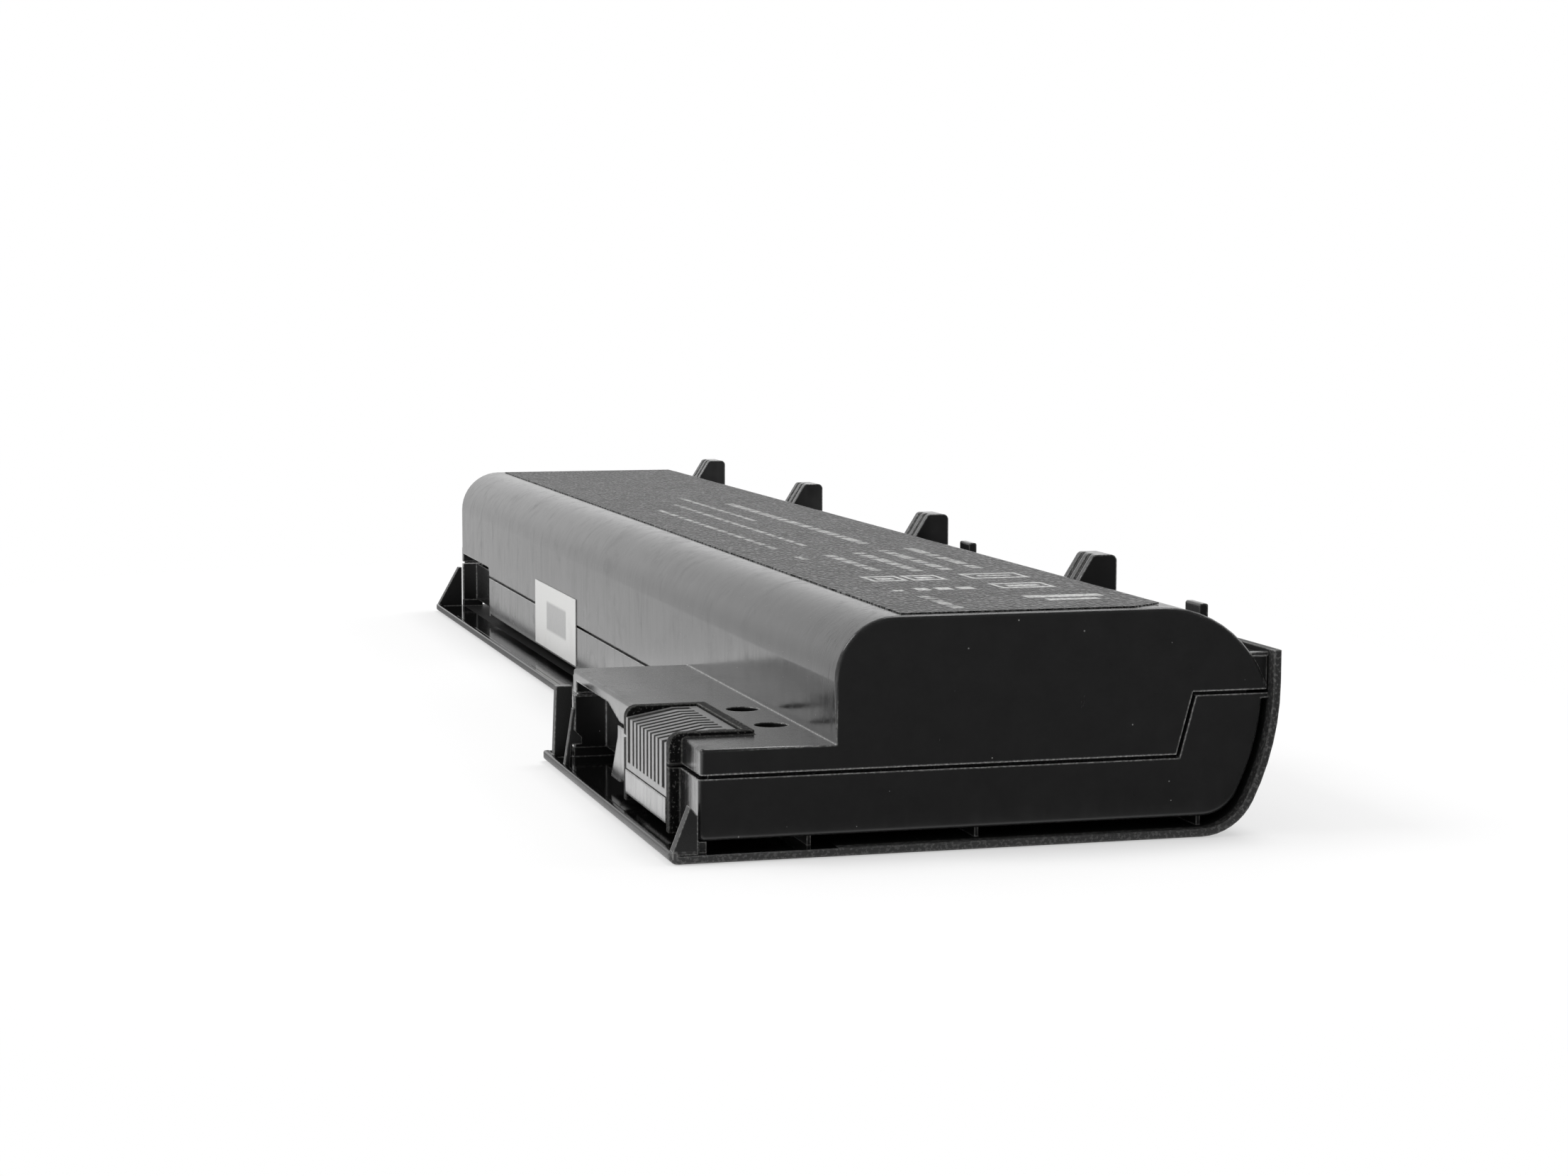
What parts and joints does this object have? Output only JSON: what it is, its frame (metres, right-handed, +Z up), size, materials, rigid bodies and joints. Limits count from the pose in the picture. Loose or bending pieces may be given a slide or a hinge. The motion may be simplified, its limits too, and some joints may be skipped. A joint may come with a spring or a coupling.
{
  "type": "laptop battery",
  "caption": "Long laptop battery with a round-shouldered cell case, a low slotted connector shelf, mounting hooks and a thin outer cover",
  "frame": {"origin": "middle of the outer cover's underside, at the middle of the box", "axes": "+Y runs along the cells from the connector end, +X away from the connector shelf, +Z up through the labelled top"},
  "size_m": [0.0612, 0.212, 0.0241],
  "materials": {
    "cover_plastic": "fine-textured black moulding",
    "shell_plastic": "satin near-black moulding",
    "connector_plastic": "satin dark grey moulding",
    "contact_metal": "gold-plated spring brass",
    "board_laminate": "green solder mask",
    "chip_resin": "black moulded resin",
    "fuse_ceramic": "white ceramic",
    "capacitor_ceramic": "brown ceramic",
    "strap_nickel": "rolled nickel strip",
    "insulating_paper": "stiff insulating paper",
    "foam_rubber": "closed-cell foam",
    "power_lead_sleeve": "red insulation",
    "sense_lead_sleeve": "yellow insulation",
    "thermistor_resin": "dipped resin",
    "label_film": "leather-grained grey film",
    "sticker_paper": "white coated paper",
    "cell_steel": "nickel-plated steel can",
    "cell_sleeve_film": "shrunk film sleeve"
  },
  "bodies": {
    "root": {"board_fuse": "fuse_ceramic", "cap_ring_1": "insulating_paper", "cap_ring_2": "insulating_paper", "cap_ring_3": "insulating_paper", "cap_ring_4": "insulating_paper", "cap_ring_5": "insulating_paper", "cap_ring_6": "insulating_paper", "capacitor_1": "capacitor_ceramic", "capacitor_2": "capacitor_ceramic", "capacitor_3": "capacitor_ceramic", "capacitor_4": "capacitor_ceramic", "cell_1": "cell_steel", "cell_2": "cell_steel", "cell_3": "cell_steel", "cell_4": "cell_steel", "cell_5": "cell_steel", "cell_6": "cell_steel", "cell_sleeve_1": "cell_sleeve_film", "cell_sleeve_2": "cell_sleeve_film", "cell_sleeve_3": "cell_sleeve_film", "cell_sleeve_4": "cell_sleeve_film", "cell_sleeve_5": "cell_sleeve_film", "cell_sleeve_6": "cell_sleeve_film", "circuit_board": "board_laminate", "connector_contacts": "contact_metal", "connector_housing": "connector_plastic", "far_paper": "insulating_paper", "foam_pad_1": "foam_rubber", "foam_pad_2": "foam_rubber", "gap_paper_1": "insulating_paper", "gap_paper_2": "insulating_paper", "gauge_chip": "chip_resin", "lower_shell": "shell_plastic", "near_paper": "insulating_paper", "negative_strap": "strap_nickel", "outer_cover": "cover_plastic", "positive_lead": "power_lead_sleeve", "positive_strap": "strap_nickel", "power_transistor_1": "chip_resin", "power_transistor_2": "chip_resin", "protection_chip": "chip_resin", "sense_lead_1": "sense_lead_sleeve", "sense_lead_2": "sense_lead_sleeve", "sense_resistor": "chip_resin", "series_strap_1": "strap_nickel", "series_strap_2": "strap_nickel", "thermistor": "thermistor_resin", "thermistor_lead": "sense_lead_sleeve", "top_label": "label_film", "upper_shell": "shell_plastic", "wall_sticker": "sticker_paper"}
  },
  "joints": []
}
